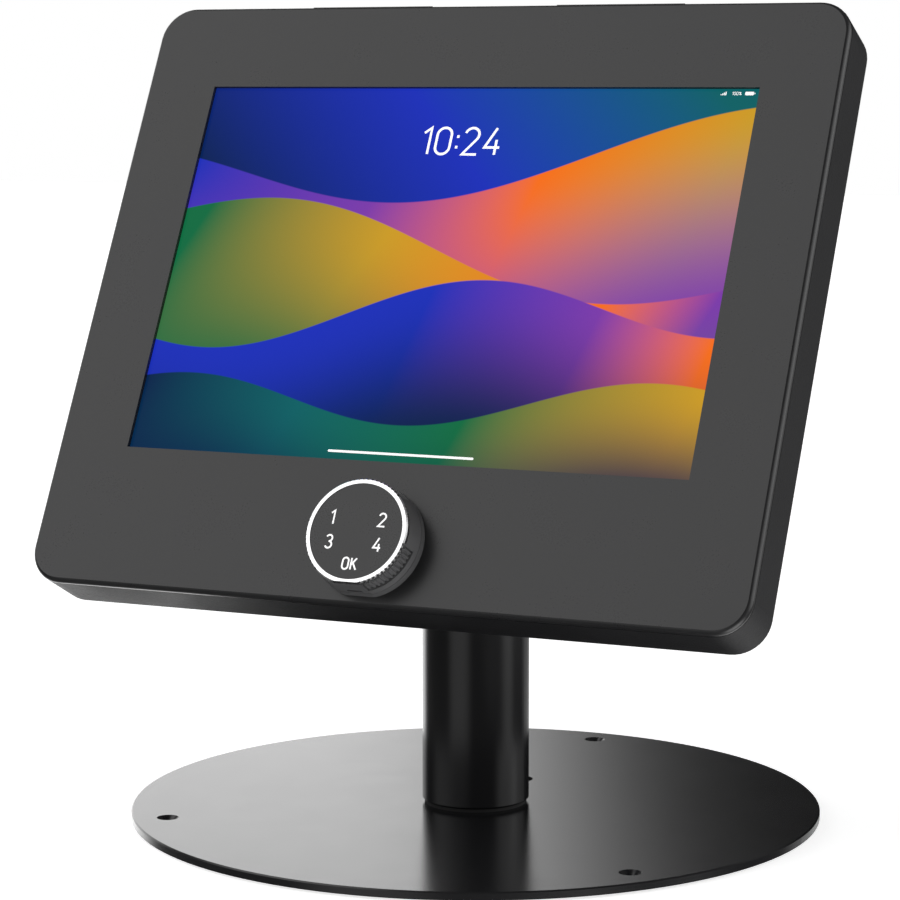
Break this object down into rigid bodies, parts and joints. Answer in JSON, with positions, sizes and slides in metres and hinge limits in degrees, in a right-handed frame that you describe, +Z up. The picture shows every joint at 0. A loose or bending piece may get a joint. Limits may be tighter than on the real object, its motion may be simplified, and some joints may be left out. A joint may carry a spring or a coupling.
{
  "type": "tablet security kiosk stand",
  "caption": "Counter-top tablet security stand: round base disc, pole, tilting head, and a hinged locking case with a keypad knob around a tablet.",
  "frame": {"origin": "under the middle of the base, on the surface it stands on", "axes": "+Z up along the pole, the screen faces -Y, +X is to the right of someone facing the screen"},
  "size_m": [0.288, 0.266, 0.3105],
  "materials": {
    "powder_coat": "fine satin black powder coat",
    "steel_hardware": "zinc-plated steel",
    "black_rubber": "matt black rubber",
    "nylon": "natural nylon",
    "holder_plastic": "moulded black plastic",
    "foam": "closed-cell foam",
    "tablet_shell": "bead-blasted aluminium",
    "tablet_inside": "battery pack and board",
    "screen_glass": "lit display under smooth glass",
    "lock_plastic": "black moulded grip",
    "bright_ring": "bright turned ring",
    "keypad_panel": "satin touch panel"
  },
  "bodies": {
    "stand": {"rubber_feet": "black_rubber", "base_plate": "powder_coat", "pole_gasket": "black_rubber", "pole": "powder_coat", "pole_foot": "steel_hardware", "pole_screws": "steel_hardware", "tilt_post": "powder_coat"},
    "head": {"head_bracket": "powder_coat", "tilt_bolt": "steel_hardware", "tilt_nut": "steel_hardware", "friction_washers": "nylon", "bracket_screws": "steel_hardware", "bracket_nuts": "steel_hardware", "rear_housing": "powder_coat", "hinge_pin": "steel_hardware", "cable_grommet": "black_rubber", "corner_holders": "holder_plastic", "foam_pad": "foam", "tablet_case": "tablet_shell", "tablet_core": "tablet_inside", "tablet_glass": "screen_glass", "lock_strike": "steel_hardware"},
    "cover": {"front_cover": "powder_coat", "lock_body": "powder_coat", "lock_nut": "steel_hardware"},
    "lock": {"lock_knob": "lock_plastic", "lock_trim_ring": "bright_ring", "keypad_face": "keypad_panel", "lock_spindle": "steel_hardware", "lock_cam": "steel_hardware", "cam_screw": "steel_hardware"}
  },
  "joints": [
    {"name": "head_tilt", "type": "hinge", "parent": "stand", "child": "head", "pos_m": [0, 0, 0.1695], "axis": [-1, 0, 0], "range_deg": [-17, 48]},
    {"name": "cover_hinge", "type": "hinge", "parent": "head", "child": "cover", "pos_m": [0, 0.01853, 0.30742], "axis": [-1, 0, 0], "range_deg": [0, 100]},
    {"name": "lock_turn", "type": "hinge", "parent": "cover", "child": "lock", "pos_m": [-0.003, -0.08287, 0.11655], "axis": [0, 0.891, -0.454], "range_deg": [0, 90]}
  ]
}
